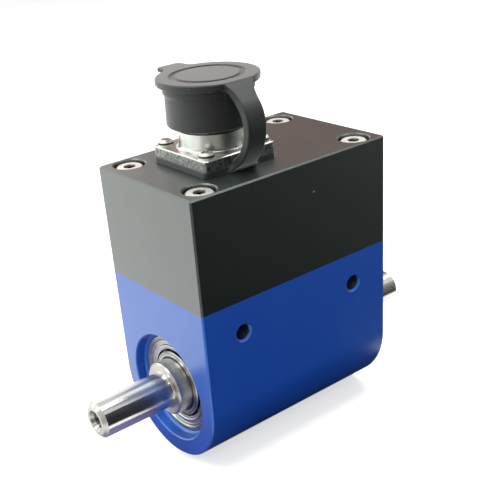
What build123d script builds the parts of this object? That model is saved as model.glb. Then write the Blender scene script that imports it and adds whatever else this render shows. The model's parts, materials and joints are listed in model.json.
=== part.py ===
from build123d import *
import math
import os

os.makedirs("parts", exist_ok=True)

# Millimetres. X runs along the shaft, Y across the body and Z towards the connector.
# The origin is on the shaft axis, at the shoulder of the drive end.

# Body block: a blue lower half with a round belly under a black upper half
body_length = 63.0
body_width = 40.0
split_height = 28.5
top_height = 58.0
body_edge = 0.4

# Bore of the lower half, from the mouth inwards
mouth_radius = 15.2
mouth_depth = 2.4
mouth_edge = 0.3
lead_in = 0.6
bore_radius = 13.0
slot_width = 22.0
slot_corner = 3.0

# Hollow of both halves, between their solid ends
end_wall = 12.0
hollow_width = 33.0
hollow_corner = 3.0
top_wall = 4.0

# Shaft
end_radius = 5.0
end_length = 21.5
end_chamfer = 1.0
shoulder_proud = 1.2
shoulder_fillet = 0.5
journal_chamfer = 0.45
abutment_radius = 8.8
abutment_width = 1.4
rotor_seat_radius = 7.0
torsion_radius = 4.5
torsion_length = 22.0
torsion_fillet = 1.5
centre_drill_radius = 1.25
centre_drill_depth = 8.0
centre_sink_radius = 3.0
centre_sink_angle = 60.0

# Deep-groove ball bearings, closed by a steel shield on each side
bearing_bore_radius = 7.5
bearing_outer_radius = 14.0
bearing_width = 7.0
bearing_chamfer = 0.3
inner_land_radius = 9.3
outer_land_radius = 12.2
shield_recess_radius = 12.6
outer_face_radius = 13.0
ball_radius = 1.75
pitch_radius = 10.75
ball_count = 11
race_gap = 0.1
cage_thickness = 1.0
cage_web = 0.3
shield_thickness = 0.35
shield_sink = 0.5
shield_inner_radius = 9.85
shield_lip = 0.25

# Rotary transformers: a ring core with its coil in the bore, and one on the shaft
core_width = 6.0
core_from_bearing = 1.6
air_gap = 0.4
stator_core_thickness = 1.95
coil_width = 3.4
stator_coil_depth = 1.3
rotor_coil_depth = 1.4

# Strain gauges and the rotor's own board
gauge_length = 6.0
gauge_thickness = 0.15
gauge_spacing = 3.0
rotor_board_radius = 11.4
rotor_board_thickness = 1.6
rotor_chip_size = 3.0
rotor_chip_height = 1.2
rotor_chip_count = 3

# Toothed wheel and speed pickup
wheel_radius = 11.6
wheel_width = 2.0
tooth_count = 60
tooth_slot_width = 0.6
tooth_depth = 1.0
wheel_from_core = 0.8
pickup_gap = 0.6
pickup_length = 3.0
pickup_width = 6.0
pickup_height = 8.0
carrier_thickness = 1.6
carrier_width = 12.0

# Signal board on four standoffs
board_margin = 0.5
board_thickness = 1.6
standoff_height = 6.0
standoff_flat_radius = 2.25
standoff_from_end = 4.0
standoff_from_side = 2.9
standoff_stud_length = 4.5
standoff_thread_depth = 4.0
board_screw_radius = 1.0
board_screw_clearance = 0.3
board_screw_head_radius = 2.2
board_screw_head_height = 1.5
board_screw_length = 4.6

# Electronic parts on the signal board, as places from the middle of the board
chip_places = [(1.0, 7.0), (1.0, -7.0), (12.0, -6.0)]
chip_size = 7.0
chip_height = 1.6
capacitor_places = [(11.0, 8.0), (11.0, 1.5)]
capacitor_radius = 2.5
capacitor_height = 6.0
header_size = (4.0, 12.0, 5.0)

# Cover screws: socket-head screws in counterbores
cover_screw_radius = 2.0
cover_screw_length = 35.0
cover_head_radius = 3.5
cover_head_height = 4.0
cover_socket_flat_radius = 1.5
cover_socket_depth = 2.0
cover_head_edge = 0.35
counterbore_radius = 4.1
counterbore_depth = 4.6
counterbore_edge = 0.3
cover_hole_clearance = 0.15
cover_from_end = 6.3
cover_from_side = 5.0
cover_tap_extra = 1.5

# Threaded side holes, drilled to the core size of an M5 thread
side_hole_radius = 2.1
side_hole_sink_radius = 2.55
side_hole_depth = 8.0
side_hole_height = 19.6
side_hole_from_end = 12.2

# Connector: flange, barrel, rear spigot
connector_from_end = 22.5
flange_size = 22.0
flange_thickness = 2.7
flange_corner = 1.1
flange_edge = 0.25
barrel_radius = 8.7
barrel_height = 4.7
barrel_foot_fillet = 0.8
thread_radius = 8.0
thread_depth = 0.6
thread_top = 19.6
barrel_edge = 0.4
socket_radius = 6.8
socket_floor = 12.6
spigot_radius = 7.5
spigot_depth = 5.0
spigot_clearance = 0.2
key_width = 1.6
key_depth = 0.6
insert_depth = 6.0
contact_radius = 0.95
contact_bore_radius = 0.55
contact_ring_radius = 4.0
contact_ring_count = 6
contact_bore_depth = 5.0
contact_tail = 3.0

# Flange screws: cross-recessed pan heads
flange_screw_radius = 1.2
flange_screw_length = 7.4
flange_screw_head_radius = 2.1
flange_screw_head_height = 1.6
flange_screw_collar = 0.5
flange_screw_dome_radius = 1.9
flange_screw_from_edge = 2.4
flange_hole_clearance = 0.15
cross_width = 0.7
cross_span = 2.6
cross_depth = 0.9

# Rubber moulding: gasket under the flange, strap, and push-on dust cap
gasket_thickness = 1.6
gasket_overhang = 0.1
cap_disc_radius = 12.9
cap_disc_thickness = 1.7
cap_rim_round = 0.4
cap_rest_gap = 0.3
skirt_radius = 10.9
skirt_flare = 0.3
skirt_height = 10.0
skirt_round = 0.6
skirt_ring_radius = 11.3
skirt_ring_height = 2.0
skirt_ring_round = 0.3
cap_fit_gap = 0.3
cap_groove_inner_radius = 7.9
cap_groove_outer_radius = 9.5
cap_groove_depth = 0.4
tab_reach = 4.4
tab_width = 7.6
tab_corner = 1.8
tab_thickness = 1.0
strap_thickness = 2.2
strap_corner = 0.4
strap_width = 5.6
strap_bow = 5.2
strap_belly_height = 11.0
strap_slope = 47.0
strap_slope_width = 3.8
strap_root_width = 10.0
strap_root_height = 17.0
strap_foot_width = 10.0
strap_foot_height = 3.4
strap_end_gap = 0.3
strap_foot_lift = 0.3

# Wires
wire_radius = 0.45
wire_bend = 1.2
wire_straight = 2.0
wire_runs = 3
coil_wire_pitch = 4.0

# Fits
press_gap = 0.02
thread_gap = 0.03
seat_gap = 0.05

# Places that follow from the sizes above
drive_face = shoulder_proud
middle = drive_face + body_length / 2
half_length = body_length / 2
sides = {"drive": -1, "output": 1}
hollow_length = body_length - 2 * end_wall
bearing_depth = mouth_depth + lead_in
bearing_offset = half_length - bearing_depth - bearing_width / 2
bearing_inner_offset = bearing_offset - bearing_width / 2
core_offset = bearing_inner_offset - core_from_bearing - core_width / 2
core_inner_offset = core_offset - core_width / 2
rotor_seat_end = torsion_length / 2
race_radius = ball_radius + race_gap
stator_outer_radius = bore_radius - seat_gap
stator_inner_radius = stator_outer_radius - stator_core_thickness
rotor_core_radius = stator_inner_radius - air_gap
board_corner = hollow_corner - board_margin
standoff_spacing_x = hollow_length - 2 * standoff_from_end
standoff_spacing_y = hollow_width - 2 * standoff_from_side
board_bottom = split_height + standoff_height
board_top = board_bottom + board_thickness
cover_pitch_x = body_length - 2 * cover_from_end
cover_pitch_y = body_width - 2 * cover_from_side
cover_head_seat = top_height - counterbore_depth
side_hole_pitch = body_length - 2 * side_hole_from_end
connector_x = drive_face + connector_from_end
flange_screw_pitch = flange_size - 2 * flange_screw_from_edge
nose_radius = thread_radius - thread_depth / 2
flange_bottom = top_height + gasket_thickness
flange_top = flange_bottom + flange_thickness
insert_bottom = top_height - insert_depth
insert_top = top_height + socket_floor
cap_disc_bottom = top_height + thread_top + cap_rest_gap
cap_top_z = cap_disc_bottom + cap_disc_thickness
cap_flat_reach = math.sqrt(cap_disc_radius**2 - (strap_root_width / 2) ** 2)
skirt_bottom = cap_disc_bottom - skirt_height
gasket_half = flange_size / 2 + gasket_overhang


def finish(piece, label):
    """Names a finished piece and writes it as its own file."""
    piece.part.label = label
    export_step(piece.part, "parts/" + label + ".step")


def turned(points, round_corners=()):
    """A solid of revolution about the shaft axis, from points of distance along X and radius."""
    with BuildPart() as blank:
        with BuildSketch(Plane.XY) as profile:
            with BuildLine():
                Polyline(*points, close=True)
            make_face()
            for corner, radius in round_corners:
                fillet(profile.vertices().sort_by_distance(corner)[0], radius)
        revolve(axis=Axis.X)
    return blank.part


def tube_ring(inner_radius, outer_radius, centre, width):
    """A plain ring about the shaft axis, with its middle at centre."""
    start = centre - width / 2
    end = centre + width / 2
    return turned(
        [(start, inner_radius), (end, inner_radius), (end, outer_radius), (start, outer_radius)]
    )


# Lower half of the body
with BuildPart() as lower_housing:
    with BuildSketch(Plane.YZ.offset(drive_face)):
        Circle(body_width / 2)
        with Locations((0, split_height / 2)):
            Rectangle(body_width, split_height)
    extrude(amount=body_length)
    end_edges = lower_housing.faces().filter_by(Axis.X).edges()
    chamfer(end_edges.filter_by(lambda edge: edge.center().Z < split_height - body_edge), body_edge)
    for side in sides.values():
        seat_outer = middle + side * (half_length - bearing_depth)
        mouth_floor = middle + side * (half_length - mouth_depth)
        end_face = middle + side * half_length
        with BuildSketch(Plane.XY):
            with BuildLine():
                Polyline(
                    (middle, 0),
                    (middle, bore_radius),
                    (middle + side * bearing_inner_offset, bore_radius),
                    (middle + side * bearing_inner_offset, bearing_outer_radius + press_gap),
                    (seat_outer, bearing_outer_radius + press_gap),
                    (mouth_floor, bearing_outer_radius + lead_in),
                    (mouth_floor, mouth_radius),
                    (end_face - side * mouth_edge, mouth_radius),
                    (end_face, mouth_radius + mouth_edge),
                    (end_face, 0),
                    close=True,
                )
            make_face()
        revolve(axis=Axis.X, mode=Mode.SUBTRACT)
    with BuildSketch(Plane.XY.offset(split_height)):
        with Locations((middle, 0)):
            RectangleRounded(hollow_length, slot_width, slot_corner)
    extrude(amount=-split_height, mode=Mode.SUBTRACT)
    with Locations((middle, 0, split_height)):
        with GridLocations(cover_pitch_x, cover_pitch_y, 2, 2):
            tap_depth = split_height - cover_head_seat + cover_screw_length + cover_tap_extra
            Hole(cover_screw_radius + thread_gap, tap_depth)
        with GridLocations(standoff_spacing_x, standoff_spacing_y, 2, 2):
            Hole(board_screw_radius + thread_gap, standoff_stud_length + seat_gap)
    for outward in (-1, 1):
        side_plane = Plane(
            origin=(middle, outward * body_width / 2, side_hole_height),
            x_dir=(1, 0, 0),
            z_dir=(0, outward, 0),
        )
        with Locations(side_plane):
            with GridLocations(side_hole_pitch, 1, 2, 1):
                CounterSinkHole(side_hole_radius, side_hole_sink_radius, side_hole_depth, 90)
finish(lower_housing, "lower_housing")

# Upper half of the body, which covers the electronics
with BuildPart() as upper_housing:
    with BuildSketch(Plane.XY.offset(split_height)):
        with Locations((middle, 0)):
            Rectangle(body_length, body_width)
    extrude(amount=top_height - split_height)
    chamfer(upper_housing.edges().filter_by(Axis.Z), body_edge)
    chamfer(upper_housing.faces().sort_by(Axis.Z)[-1].edges(), body_edge)
    with BuildSketch(Plane.XY.offset(split_height)):
        with Locations((middle, 0)):
            RectangleRounded(hollow_length, hollow_width, hollow_corner)
    extrude(amount=top_height - top_wall - split_height, mode=Mode.SUBTRACT)
    with Locations((middle, 0, top_height)):
        with GridLocations(cover_pitch_x, cover_pitch_y, 2, 2):
            CounterBoreHole(
                cover_screw_radius + cover_hole_clearance, counterbore_radius, counterbore_depth
            )
    rims = upper_housing.faces().sort_by(Axis.Z)[-1].edges().filter_by(GeomType.CIRCLE)
    chamfer(rims, counterbore_edge)
    with Locations((connector_x, 0, top_height)):
        Hole(spigot_radius + spigot_clearance)
        with GridLocations(flange_screw_pitch, flange_screw_pitch, 2, 2):
            Hole(flange_screw_radius + thread_gap)
finish(upper_housing, "upper_housing")

# Four cover screws
with BuildPart() as cover_screws:
    with Locations((middle, 0, cover_head_seat)):
        with GridLocations(cover_pitch_x, cover_pitch_y, 2, 2):
            Cylinder(
                cover_head_radius, cover_head_height, align=(Align.CENTER, Align.CENTER, Align.MIN)
            )
            Cylinder(
                cover_screw_radius, cover_screw_length, align=(Align.CENTER, Align.CENTER, Align.MAX)
            )
    chamfer(cover_screws.faces().group_by(Axis.Z)[-1].edges(), cover_head_edge)
    with BuildSketch(Plane.XY.offset(cover_head_seat + cover_head_height)):
        with Locations((middle, 0)):
            with GridLocations(cover_pitch_x, cover_pitch_y, 2, 2):
                RegularPolygon(cover_socket_flat_radius, 6, major_radius=False)
    extrude(amount=-cover_socket_depth, mode=Mode.SUBTRACT)
finish(cover_screws, "cover_screws")

# Shaft, turned as one piece and the same at both ends
with BuildPart() as shaft:
    tip = -end_length
    abutment_start = middle - bearing_inner_offset
    abutment_end = abutment_start + abutment_width
    seat_end = middle - rotor_seat_end
    with BuildSketch(Plane.XY) as half_profile:
        with BuildLine():
            Polyline(
                (tip, 0),
                (tip, end_radius - end_chamfer),
                (tip + end_chamfer, end_radius),
                (0, end_radius),
                (0, bearing_bore_radius - press_gap - journal_chamfer),
                (journal_chamfer, bearing_bore_radius - press_gap),
                (abutment_start, bearing_bore_radius - press_gap),
                (abutment_start, abutment_radius),
                (abutment_end, abutment_radius),
                (abutment_end, rotor_seat_radius),
                (seat_end, rotor_seat_radius),
                (seat_end, torsion_radius),
                (middle, torsion_radius),
                (middle, 0),
                close=True,
            )
        make_face()
        fillet(half_profile.vertices().sort_by_distance((0, end_radius))[0], shoulder_fillet)
        fillet(half_profile.vertices().sort_by_distance((seat_end, torsion_radius))[0], torsion_fillet)
    revolve(axis=Axis.X)
    with BuildSketch(Plane.XY):
        half_angle = math.radians(centre_sink_angle / 2)
        sink_depth = (centre_sink_radius - centre_drill_radius) / math.tan(half_angle)
        with BuildLine():
            Polyline(
                (tip, 0),
                (tip, centre_sink_radius),
                (tip + sink_depth, centre_drill_radius),
                (tip + centre_drill_depth, centre_drill_radius),
                (tip + centre_drill_depth + centre_drill_radius / 2, 0),
                close=True,
            )
        make_face()
    revolve(axis=Axis.X, mode=Mode.SUBTRACT)
    mirror(about=Plane.YZ.offset(middle))
finish(shaft, "shaft")


def ball_places(centre):
    """The places of the balls of one bearing, evenly spaced on the pitch circle."""
    step = 2 * math.pi / ball_count
    return [
        (centre, pitch_radius * math.cos(step * place), pitch_radius * math.sin(step * place))
        for place in range(ball_count)
    ]


def race_cutter(centre):
    """The ring of round section that leaves the ball groove in both rings of a bearing."""
    with BuildPart() as groove:
        with BuildSketch(Plane.XY):
            with Locations((centre, pitch_radius)):
                Circle(race_radius)
        revolve(axis=Axis.X)
    return groove.part


def make_bearing(side_name, centre):
    """Writes the rings, shields, balls and cage of one bearing."""
    half = bearing_width / 2
    shield_face = half - shield_sink
    shield_back = shield_face - shield_thickness
    outer_points = [
        (centre - half + bearing_chamfer, bearing_outer_radius),
        (centre - half, bearing_outer_radius - bearing_chamfer),
        (centre - half, outer_face_radius),
        (centre - shield_face, shield_recess_radius),
        (centre - shield_back, shield_recess_radius),
        (centre - shield_back, outer_land_radius),
        (centre + shield_back, outer_land_radius),
        (centre + shield_back, shield_recess_radius),
        (centre + shield_face, shield_recess_radius),
        (centre + half, outer_face_radius),
        (centre + half, bearing_outer_radius - bearing_chamfer),
        (centre + half - bearing_chamfer, bearing_outer_radius),
    ]
    with BuildPart() as outer_ring:
        add(turned(outer_points))
        add(race_cutter(centre), mode=Mode.SUBTRACT)
    finish(outer_ring, side_name + "_bearing_outer_ring")

    with BuildPart() as inner_ring:
        add(tube_ring(bearing_bore_radius, inner_land_radius, centre, bearing_width))
        chamfer(inner_ring.edges().filter_by(GeomType.CIRCLE), bearing_chamfer)
        add(race_cutter(centre), mode=Mode.SUBTRACT)
    finish(inner_ring, side_name + "_bearing_inner_ring")

    with BuildPart() as shields:
        for facing in (-1, 1):
            face = centre + facing * shield_face
            back = centre + facing * shield_back
            lip = back - facing * shield_lip
            add(
                turned(
                    [
                        (face, shield_inner_radius),
                        (face, shield_recess_radius - press_gap),
                        (back, shield_recess_radius - press_gap),
                        (back, shield_inner_radius + shield_thickness),
                        (lip, shield_inner_radius + shield_thickness),
                        (lip, shield_inner_radius),
                    ]
                )
            )
    finish(shields, side_name + "_bearing_shields")

    with BuildPart() as balls:
        with Locations(*ball_places(centre)):
            Sphere(ball_radius)
    finish(balls, side_name + "_bearing_balls")

    with BuildPart() as cage:
        cage_width = 2 * (race_radius + cage_web)
        add(
            tube_ring(
                pitch_radius - cage_thickness / 2,
                pitch_radius + cage_thickness / 2,
                centre,
                cage_width,
            )
        )
        with Locations(*ball_places(centre)):
            Sphere(race_radius, mode=Mode.SUBTRACT)
    finish(cage, side_name + "_bearing_cage")


def make_transformer(side_name, centre):
    """Writes the two cores and two coils of one rotary transformer."""
    half = core_width / 2
    half_coil = coil_width / 2
    coil_room = coil_width - 2 * seat_gap
    stator_floor = stator_inner_radius + stator_coil_depth
    rotor_floor = rotor_core_radius - rotor_coil_depth
    with BuildPart() as stator_core:
        add(
            turned(
                [
                    (centre - half, stator_inner_radius),
                    (centre - half_coil, stator_inner_radius),
                    (centre - half_coil, stator_floor),
                    (centre + half_coil, stator_floor),
                    (centre + half_coil, stator_inner_radius),
                    (centre + half, stator_inner_radius),
                    (centre + half, stator_outer_radius),
                    (centre - half, stator_outer_radius),
                ]
            )
        )
    finish(stator_core, side_name + "_stator_core")
    with BuildPart() as stator_coil:
        add(
            tube_ring(
                stator_inner_radius + seat_gap, stator_floor - seat_gap, centre, coil_room
            )
        )
    finish(stator_coil, side_name + "_stator_coil")
    with BuildPart() as rotor_core:
        add(
            turned(
                [
                    (centre - half, rotor_seat_radius + press_gap),
                    (centre + half, rotor_seat_radius + press_gap),
                    (centre + half, rotor_core_radius),
                    (centre + half_coil, rotor_core_radius),
                    (centre + half_coil, rotor_floor),
                    (centre - half_coil, rotor_floor),
                    (centre - half_coil, rotor_core_radius),
                    (centre - half, rotor_core_radius),
                ]
            )
        )
    finish(rotor_core, side_name + "_rotor_core")
    with BuildPart() as rotor_coil:
        add(tube_ring(rotor_floor + seat_gap, rotor_core_radius - seat_gap, centre, coil_room))
    finish(rotor_coil, side_name + "_rotor_coil")


for side_name, side in sides.items():
    make_bearing(side_name, middle + side * bearing_offset)
    make_transformer(side_name, middle + side * core_offset)

# Four strain gauges bonded round the thin middle of the shaft
with BuildPart() as strain_gauges:
    with BuildSketch(Plane.YZ.offset(middle - gauge_length / 2)):
        Circle(torsion_radius + gauge_thickness)
        Circle(torsion_radius, mode=Mode.SUBTRACT)
        cut_length = 4 * torsion_radius
        Rectangle(gauge_spacing, cut_length, mode=Mode.SUBTRACT)
        Rectangle(cut_length, gauge_spacing, mode=Mode.SUBTRACT)
    extrude(amount=gauge_length)
finish(strain_gauges, "strain_gauges")

# Ring board that turns with the shaft and reads the gauges
rotor_board_face = middle - core_inner_offset + seat_gap
rotor_chip_face = rotor_board_face + rotor_board_thickness
with BuildPart() as rotor_board:
    with BuildSketch(Plane.YZ.offset(rotor_board_face)):
        Circle(rotor_board_radius)
        Circle(rotor_seat_radius + press_gap, mode=Mode.SUBTRACT)
    extrude(amount=rotor_board_thickness)
finish(rotor_board, "rotor_board")

with BuildPart() as rotor_chips:
    with BuildSketch(Plane.YZ.offset(rotor_chip_face)):
        with PolarLocations((rotor_seat_radius + rotor_board_radius) / 2, rotor_chip_count):
            Rectangle(rotor_chip_size, rotor_chip_size)
    extrude(amount=rotor_chip_height)
finish(rotor_chips, "rotor_chips")

# Toothed wheel on the shaft, read by the pickup
wheel_face = middle + core_inner_offset - wheel_from_core - wheel_width
with BuildPart() as speed_wheel:
    with BuildSketch(Plane.YZ.offset(wheel_face)):
        Circle(wheel_radius)
        Circle(rotor_seat_radius + press_gap, mode=Mode.SUBTRACT)
        with PolarLocations(wheel_radius, tooth_count):
            Rectangle(2 * tooth_depth, tooth_slot_width, mode=Mode.SUBTRACT)
    extrude(amount=wheel_width)
finish(speed_wheel, "speed_wheel")

pickup_x = wheel_face + wheel_width / 2
pickup_bottom = wheel_radius + pickup_gap
pickup_top = pickup_bottom + pickup_height
with BuildPart() as speed_pickup:
    with BuildSketch(Plane.XY.offset(pickup_bottom)):
        with Locations((pickup_x, 0)):
            Rectangle(pickup_length, pickup_width)
    extrude(amount=pickup_height)
    chamfer(speed_pickup.faces().sort_by(Axis.Z)[0].edges().filter_by(Axis.X), pickup_gap)
finish(speed_pickup, "speed_pickup")

with BuildPart() as pickup_carrier:
    with BuildSketch(Plane.XY.offset(pickup_top)):
        with Locations((pickup_x, 0)):
            Rectangle(carrier_thickness, carrier_width)
    extrude(amount=board_bottom - pickup_top)
finish(pickup_carrier, "pickup_carrier")

# Signal board, its standoffs and its screws
with BuildPart() as board_standoffs:
    with BuildSketch(Plane.XY.offset(split_height)):
        with Locations((middle, 0)):
            with GridLocations(standoff_spacing_x, standoff_spacing_y, 2, 2):
                RegularPolygon(standoff_flat_radius, 6, major_radius=False)
    extrude(amount=standoff_height)
    with Locations((middle, 0, split_height)):
        with GridLocations(standoff_spacing_x, standoff_spacing_y, 2, 2):
            Cylinder(
                board_screw_radius,
                standoff_stud_length,
                align=(Align.CENTER, Align.CENTER, Align.MAX),
            )
    with Locations((middle, 0, board_bottom)):
        with GridLocations(standoff_spacing_x, standoff_spacing_y, 2, 2):
            Hole(board_screw_radius + thread_gap, standoff_thread_depth)
finish(board_standoffs, "board_standoffs")

with BuildPart() as signal_board:
    with BuildSketch(Plane.XY.offset(board_bottom)):
        with Locations((middle, 0)):
            board_length = hollow_length - 2 * board_margin
            board_width = hollow_width - 2 * board_margin
            RectangleRounded(board_length, board_width, board_corner)
            with GridLocations(standoff_spacing_x, standoff_spacing_y, 2, 2):
                Circle(board_screw_radius + board_screw_clearance, mode=Mode.SUBTRACT)
    extrude(amount=board_thickness)
finish(signal_board, "signal_board")

with BuildPart() as board_screws:
    with Locations((middle, 0, board_top)):
        with GridLocations(standoff_spacing_x, standoff_spacing_y, 2, 2):
            Cylinder(
                board_screw_head_radius,
                board_screw_head_height,
                align=(Align.CENTER, Align.CENTER, Align.MIN),
            )
            Cylinder(
                board_screw_radius,
                board_screw_length,
                align=(Align.CENTER, Align.CENTER, Align.MAX),
            )
    fillet(board_screws.faces().group_by(Axis.Z)[-1].edges(), board_screw_head_height / 2)
finish(board_screws, "board_screws")

with BuildPart() as board_chips:
    with BuildSketch(Plane.XY.offset(board_top)):
        with Locations(*[(middle + x, y) for x, y in chip_places]):
            Rectangle(chip_size, chip_size)
    extrude(amount=chip_height)
finish(board_chips, "board_chips")

with BuildPart() as board_capacitors:
    with BuildSketch(Plane.XY.offset(board_top)):
        with Locations(*[(middle + x, y) for x, y in capacitor_places]):
            Circle(capacitor_radius)
    extrude(amount=capacitor_height)
finish(board_capacitors, "board_capacitors")

header_length, header_width, header_height = header_size
header_top = board_top + header_height
with BuildPart() as lead_header:
    with BuildSketch(Plane.XY.offset(board_top)):
        with Locations((connector_x, 0)):
            Rectangle(header_length, header_width)
    extrude(amount=header_height)
finish(lead_header, "lead_header")

# Connector body: flange, barrel with its threaded nose, and the spigot through the top wall
with BuildPart() as connector_body:
    with BuildSketch(Plane.XY.offset(flange_bottom)):
        with Locations((connector_x, 0)):
            RectangleRounded(flange_size, flange_size, flange_corner)
    extrude(amount=flange_thickness)
    chamfer(connector_body.faces().sort_by(Axis.Z)[-1].edges(), flange_edge)
    with BuildSketch(Plane.XY.offset(flange_top)):
        with Locations((connector_x, 0)):
            Circle(barrel_radius)
    extrude(amount=barrel_height)
    foot = connector_body.edges().filter_by(GeomType.CIRCLE).filter_by_position(
        Axis.Z, flange_top - seat_gap, flange_top + seat_gap
    )
    fillet(foot.sort_by(SortBy.RADIUS)[-1], barrel_foot_fillet)
    chamfer(connector_body.faces().sort_by(Axis.Z)[-1].edges(), flange_edge)
    with BuildSketch(Plane.XY.offset(flange_top + barrel_height)):
        with Locations((connector_x, 0)):
            Circle(nose_radius)
    extrude(amount=top_height + thread_top - flange_top - barrel_height)
    chamfer(connector_body.faces().sort_by(Axis.Z)[-1].edges(), barrel_edge)
    with BuildSketch(Plane.XY.offset(flange_bottom)):
        with Locations((connector_x, 0)):
            Circle(spigot_radius)
    extrude(amount=top_height - spigot_depth - flange_bottom)
    with Locations((connector_x, 0, top_height + thread_top)):
        Hole(socket_radius)
    with Locations((connector_x, 0, flange_top)):
        with GridLocations(flange_screw_pitch, flange_screw_pitch, 2, 2):
            Hole(flange_screw_radius + flange_hole_clearance)
    with BuildSketch(Plane.XY.offset(top_height + thread_top)):
        with Locations((connector_x, socket_radius)):
            Rectangle(key_width, 2 * key_depth)
    extrude(amount=socket_floor - thread_top, mode=Mode.SUBTRACT)
finish(connector_body, "connector_body")

contact_places = [(connector_x, 0)] + [
    (
        connector_x + contact_ring_radius * math.cos(2 * math.pi * place / contact_ring_count),
        contact_ring_radius * math.sin(2 * math.pi * place / contact_ring_count),
    )
    for place in range(contact_ring_count)
]
contact_top = insert_top - seat_gap
contact_bottom = insert_bottom - contact_tail
with BuildPart() as connector_insert:
    with BuildSketch(Plane.XY.offset(insert_bottom)):
        with Locations((connector_x, 0)):
            Circle(socket_radius - press_gap)
        with Locations(*contact_places):
            Circle(contact_radius + press_gap, mode=Mode.SUBTRACT)
    extrude(amount=insert_top - insert_bottom)
finish(connector_insert, "connector_insert")

with BuildPart() as connector_contacts:
    with BuildSketch(Plane.XY.offset(contact_bottom)):
        with Locations(*contact_places):
            Circle(contact_radius)
    extrude(amount=contact_top - contact_bottom)
    with Locations(*[(x, y, contact_top) for x, y in contact_places]):
        Hole(contact_bore_radius, contact_bore_depth)
finish(connector_contacts, "connector_contacts")

# Four flange screws, each with a collar under its domed head and a cross recess
with BuildPart() as flange_screws:
    with Locations((connector_x, 0, flange_top)):
        with GridLocations(flange_screw_pitch, flange_screw_pitch, 2, 2):
            Cylinder(
                flange_screw_head_radius,
                flange_screw_collar,
                align=(Align.CENTER, Align.CENTER, Align.MIN),
            )
            Cylinder(
                flange_screw_dome_radius,
                flange_screw_head_height,
                align=(Align.CENTER, Align.CENTER, Align.MIN),
            )
            Cylinder(
                flange_screw_radius,
                flange_screw_length,
                align=(Align.CENTER, Align.CENTER, Align.MAX),
            )
    dome_round = flange_screw_head_height - flange_screw_collar - seat_gap
    fillet(flange_screws.faces().group_by(Axis.Z)[-1].edges(), dome_round)
    with BuildSketch(Plane.XY.offset(flange_top + flange_screw_head_height)):
        with Locations((connector_x, 0)):
            with GridLocations(flange_screw_pitch, flange_screw_pitch, 2, 2):
                Rectangle(cross_span, cross_width)
                Rectangle(cross_width, cross_span)
    extrude(amount=-cross_depth, mode=Mode.SUBTRACT)
finish(flange_screws, "flange_screws")

# Rubber gasket between the flange and the top of the body
with BuildPart() as flange_gasket:
    with BuildSketch(Plane.XY.offset(top_height)):
        with Locations((connector_x, 0)):
            RectangleRounded(2 * gasket_half, 2 * gasket_half, flange_corner + gasket_overhang)
            Circle(spigot_radius + spigot_clearance, mode=Mode.SUBTRACT)
            with GridLocations(flange_screw_pitch, flange_screw_pitch, 2, 2):
                Circle(flange_screw_radius + flange_hole_clearance, mode=Mode.SUBTRACT)
    extrude(amount=gasket_thickness)
finish(flange_gasket, "flange_gasket")

# Push-on dust cap: a disc with a thumb tab at the back, over a stepped skirt round the nose
with BuildPart() as dust_cap:
    with BuildSketch(Plane.XY.offset(cap_disc_bottom)):
        with Locations((connector_x, 0)):
            Circle(cap_disc_radius)
        with Locations((connector_x, -cap_flat_reach)):
            flat_cut = 2 * cap_disc_radius
            Rectangle(flat_cut, flat_cut, align=(Align.CENTER, Align.MAX), mode=Mode.SUBTRACT)
    extrude(amount=cap_disc_thickness)
    with BuildSketch(Plane.XY.offset(cap_top_z)):
        with Locations((connector_x, (cap_disc_radius + tab_reach) / 2)):
            RectangleRounded(tab_width, cap_disc_radius + tab_reach, tab_corner)
    extrude(amount=-tab_thickness)
    tab_roots = dust_cap.edges().filter_by(Axis.Z).filter_by_position(
        Axis.Y, 0, cap_disc_radius - seat_gap
    )
    fillet(tab_roots, tab_corner)
    fillet(dust_cap.faces().sort_by(Axis.Z)[-1].edges(), cap_rim_round)
    with BuildSketch(Plane.XY.offset(skirt_bottom)):
        with Locations((connector_x, 0)):
            Circle(skirt_radius + skirt_flare)
    with BuildSketch(Plane.XY.offset(cap_disc_bottom)):
        with Locations((connector_x, 0)):
            Circle(skirt_radius)
    loft()
    fillet(dust_cap.faces().sort_by(Axis.Z)[0].edges(), skirt_round)
    ring_bottom = cap_disc_bottom - skirt_ring_height
    with BuildSketch(Plane.XY.offset(ring_bottom)):
        with Locations((connector_x, 0)):
            Circle(skirt_ring_radius)
    extrude(amount=skirt_ring_height)
    ring_rims = dust_cap.edges().filter_by(GeomType.CIRCLE).filter_by_position(
        Axis.Z, ring_bottom - seat_gap, ring_bottom + seat_gap
    )
    fillet(ring_rims.sort_by(SortBy.RADIUS)[-1], skirt_ring_round)
    with BuildSketch(Plane.XY.offset(skirt_bottom)):
        with Locations((connector_x, 0)):
            Circle(thread_radius + cap_fit_gap)
    extrude(amount=skirt_height, mode=Mode.SUBTRACT)
    with BuildSketch(Plane.XY.offset(cap_top_z)):
        with Locations((connector_x, 0)):
            Circle(cap_groove_outer_radius)
            Circle(cap_groove_inner_radius, mode=Mode.SUBTRACT)
    extrude(amount=-cap_groove_depth, mode=Mode.SUBTRACT)
finish(dust_cap, "dust_cap")


def is_flank(face):
    """True for the faces on the strap's two narrow sides."""
    return abs(face.normal_at().X) > 0.5


def is_long_edge(edge):
    """True for the edges that run along the strap, and not for those across its thickness."""
    direction = edge % 0.5
    return abs(direction.Z) > 0.2 and abs(direction.Y) > 0.2


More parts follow.
